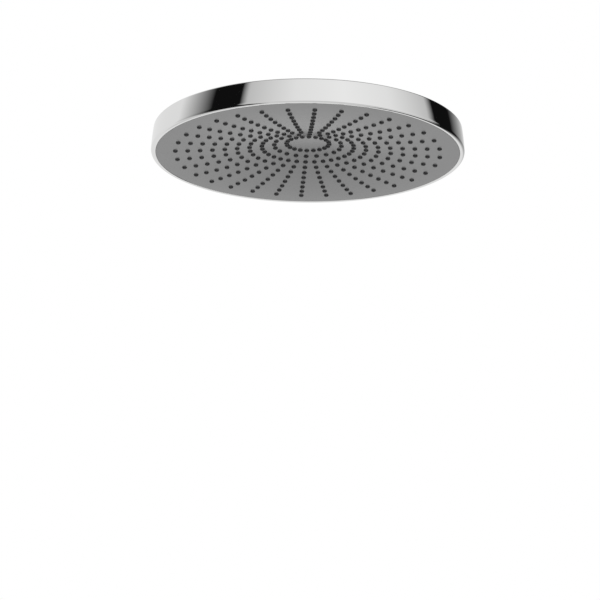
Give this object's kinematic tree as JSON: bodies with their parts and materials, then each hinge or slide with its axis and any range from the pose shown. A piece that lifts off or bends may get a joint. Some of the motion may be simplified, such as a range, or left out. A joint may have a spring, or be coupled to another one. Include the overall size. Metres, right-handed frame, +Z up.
{
  "type": "shower head",
  "caption": "Round overhead shower head with a dished nozzle face inside a chromed rim, and a ball swivel under a threaded union inlet.",
  "frame": {"origin": "on the inlet's axis, where its thread begins just inside the union nut's mouth", "axes": "+Z up along the inlet's axis, out of its mouth; -Y is the front, the side that the picture is taken from"},
  "size_m": [0.25, 0.25, 0.0578],
  "materials": {
    "chrome": "polished chrome plating",
    "graphite_plastic": "satin dark grey",
    "black_plastic": "plain black moulding",
    "white_plastic": "natural white moulding",
    "black_rubber": "matt",
    "brass": "turned",
    "steel": "bright stainless"
  },
  "bodies": {
    "arm_union": {"union_nut": "chrome", "inlet_washer": "black_rubber", "strainer_screen": "steel"},
    "swivel_stem": {"ball_stem": "chrome", "stem_snap_ring": "steel", "flow_limiter": "white_plastic"},
    "head": {"collar_nut": "chrome", "friction_ring": "white_plastic", "ball_seal": "black_rubber", "seat_washer": "white_plastic", "inlet_hub": "brass", "hub_seal": "black_rubber", "shell_washer": "black_rubber", "shell_nut": "chrome", "top_shell": "chrome", "chamber_cover": "black_plastic", "rim_seal": "black_rubber", "flow_spreader": "white_plastic", "spreader_screws": "steel", "spray_face": "graphite_plastic", "face_screws": "steel"}
  },
  "joints": [
    {"name": "swivel_turn", "type": "hinge", "parent": "arm_union", "child": "swivel_stem", "pos_m": [0, 0, -0.01], "axis": [0, 0, 1], "continuous": true},
    {"name": "head_tilt", "type": "hinge", "parent": "swivel_stem", "child": "head", "pos_m": [0, 0, -0.02575], "axis": [1, 0, 0], "range_deg": [-12, 12]}
  ]
}
